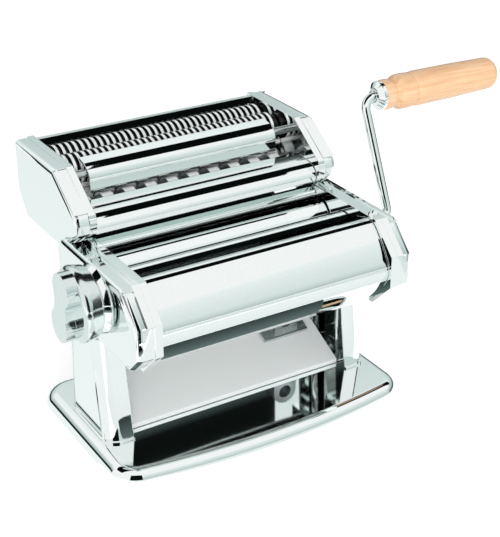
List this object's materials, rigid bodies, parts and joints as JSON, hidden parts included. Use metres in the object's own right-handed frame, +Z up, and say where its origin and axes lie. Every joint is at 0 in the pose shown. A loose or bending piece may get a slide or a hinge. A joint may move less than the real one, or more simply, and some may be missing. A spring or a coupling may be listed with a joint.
{
  "type": "hand cranked pasta machine",
  "caption": "Chromed hand crank pasta machine: smooth rollers with a thickness knob, a wood grip crank and a slide-on cutter with narrow and wide rollers, on a stand.",
  "frame": {"origin": "middle of the underside of the base", "axes": "+X along the rollers towards the crank, -Y the front with the cover, +Z up"},
  "size_m": [0.3303, 0.1649, 0.1869],
  "materials": {
    "chrome": "mirror polished chrome on sheet steel",
    "roller_steel": "ground and chromed steel rollers",
    "cutter_steel": "turned steel cutting rollers",
    "plain_steel": "plain steel inner parts",
    "brass": "plain brass bearings",
    "scraper_plastic": "moulded strips",
    "beech": "lacquered beech",
    "satin_steel": "satin steel sheet of the ramp",
    "rubber": "black rubber"
  },
  "bodies": {
    "frame": {"base_plate": "chrome", "feet": "rubber", "left_leg": "chrome", "right_leg": "chrome", "leg_screws": "plain_steel", "chute": "satin_steel", "clamp_lug": "plain_steel", "lug_screws": "plain_steel", "left_side_plate": "chrome", "right_side_plate": "chrome", "left_casing": "chrome", "right_casing": "chrome", "front_cover": "chrome", "rear_cover": "chrome", "tie_rods": "plain_steel", "frame_screws": "plain_steel", "roller_bushes": "brass", "front_scraper": "scraper_plastic", "knob_boss": "chrome"},
    "drive": {"front_roller": "roller_steel", "drive_gear": "plain_steel"},
    "crank": {"crank_rod": "chrome"},
    "grip": {"grip_ferrule": "chrome", "crank_grip": "beech"},
    "carriage": {"left_bearing_plate": "brass", "right_bearing_plate": "brass", "carriage_bar": "plain_steel", "rear_scraper": "scraper_plastic"},
    "idler": {"rear_roller": "roller_steel", "driven_gear": "plain_steel"},
    "selector": {"gap_cam": "plain_steel"},
    "knob": {"thickness_knob": "chrome"},
    "cutter": {"cutter_left_plate": "chrome", "cutter_right_plate": "chrome", "cutter_left_cap": "chrome", "cutter_right_cap": "chrome", "cutter_front_guide": "chrome", "cutter_middle_guide": "chrome", "cutter_rear_cover": "chrome", "cutter_rods": "plain_steel", "cutter_bushes": "brass", "narrow_combs": "scraper_plastic", "wide_combs": "scraper_plastic"},
    "narrow_front": {"narrow_front_roller": "cutter_steel", "narrow_front_gear": "plain_steel"},
    "narrow_back": {"narrow_back_roller": "cutter_steel", "narrow_back_gear": "plain_steel"},
    "wide_front": {"wide_front_roller": "cutter_steel", "wide_front_gear": "plain_steel"},
    "wide_back": {"wide_back_roller": "cutter_steel", "wide_back_gear": "plain_steel"}
  },
  "joints": [
    {"name": "crank_turn", "type": "hinge", "parent": "frame", "child": "drive", "pos_m": [0, -0.016, 0.105], "axis": [1, 0, 0], "continuous": true},
    {"name": "crank_pull", "type": "slide", "parent": "drive", "child": "crank", "axis": [1, 0, 0], "range_m": [0, 0.035]},
    {"name": "grip_spin", "type": "hinge", "parent": "crank", "child": "grip", "pos_m": [0, 0.01602, 0.17558], "axis": [1, 0, 0], "continuous": true},
    {"name": "knob_turn", "type": "hinge", "parent": "frame", "child": "selector", "pos_m": [-0.09, -0.016, 0.105], "axis": [-1, 0, 0], "range_deg": [0, 150.2]},
    {"name": "knob_pull", "type": "slide", "parent": "selector", "child": "knob", "axis": [-1, 0, 0], "range_m": [0, 0.004], "stiffness_N_per_m": 1500, "springref_m": -0.003},
    {"name": "roller_shift", "type": "slide", "parent": "frame", "child": "carriage", "axis": [0, 1, 0], "range_m": [0, 0.0022]},
    {"name": "rear_roller_spin", "type": "hinge", "parent": "carriage", "child": "idler", "pos_m": [0, 0.0116, 0.105], "axis": [1, 0, 0], "continuous": true},
    {"name": "cutter_slide", "type": "slide", "parent": "frame", "child": "cutter", "axis": [0, -0.809, 0.5878], "range_m": [0, 0.06]},
    {"name": "narrow_spin", "type": "hinge", "parent": "cutter", "child": "narrow_front", "pos_m": [0, 0.06592, 0.149], "axis": [1, 0, 0], "continuous": true},
    {"name": "narrow_partner_spin", "type": "hinge", "parent": "cutter", "child": "narrow_back", "pos_m": [0, 0.08412, 0.149], "axis": [1, 0, 0], "continuous": true},
    {"name": "wide_spin", "type": "hinge", "parent": "cutter", "child": "wide_front", "pos_m": [0, 0.04592, 0.129], "axis": [1, 0, 0], "continuous": true},
    {"name": "wide_partner_spin", "type": "hinge", "parent": "cutter", "child": "wide_back", "pos_m": [0, 0.06412, 0.129], "axis": [1, 0, 0], "continuous": true}
  ],
  "couplings": [
    {"joint": "knob_turn", "follows": "roller_shift", "rad_per_m": 1190},
    {"joint": "rear_roller_spin", "follows": "crank_turn", "ratio": -1},
    {"joint": "narrow_partner_spin", "follows": "narrow_spin", "ratio": -1},
    {"joint": "wide_partner_spin", "follows": "wide_spin", "ratio": -1}
  ]
}
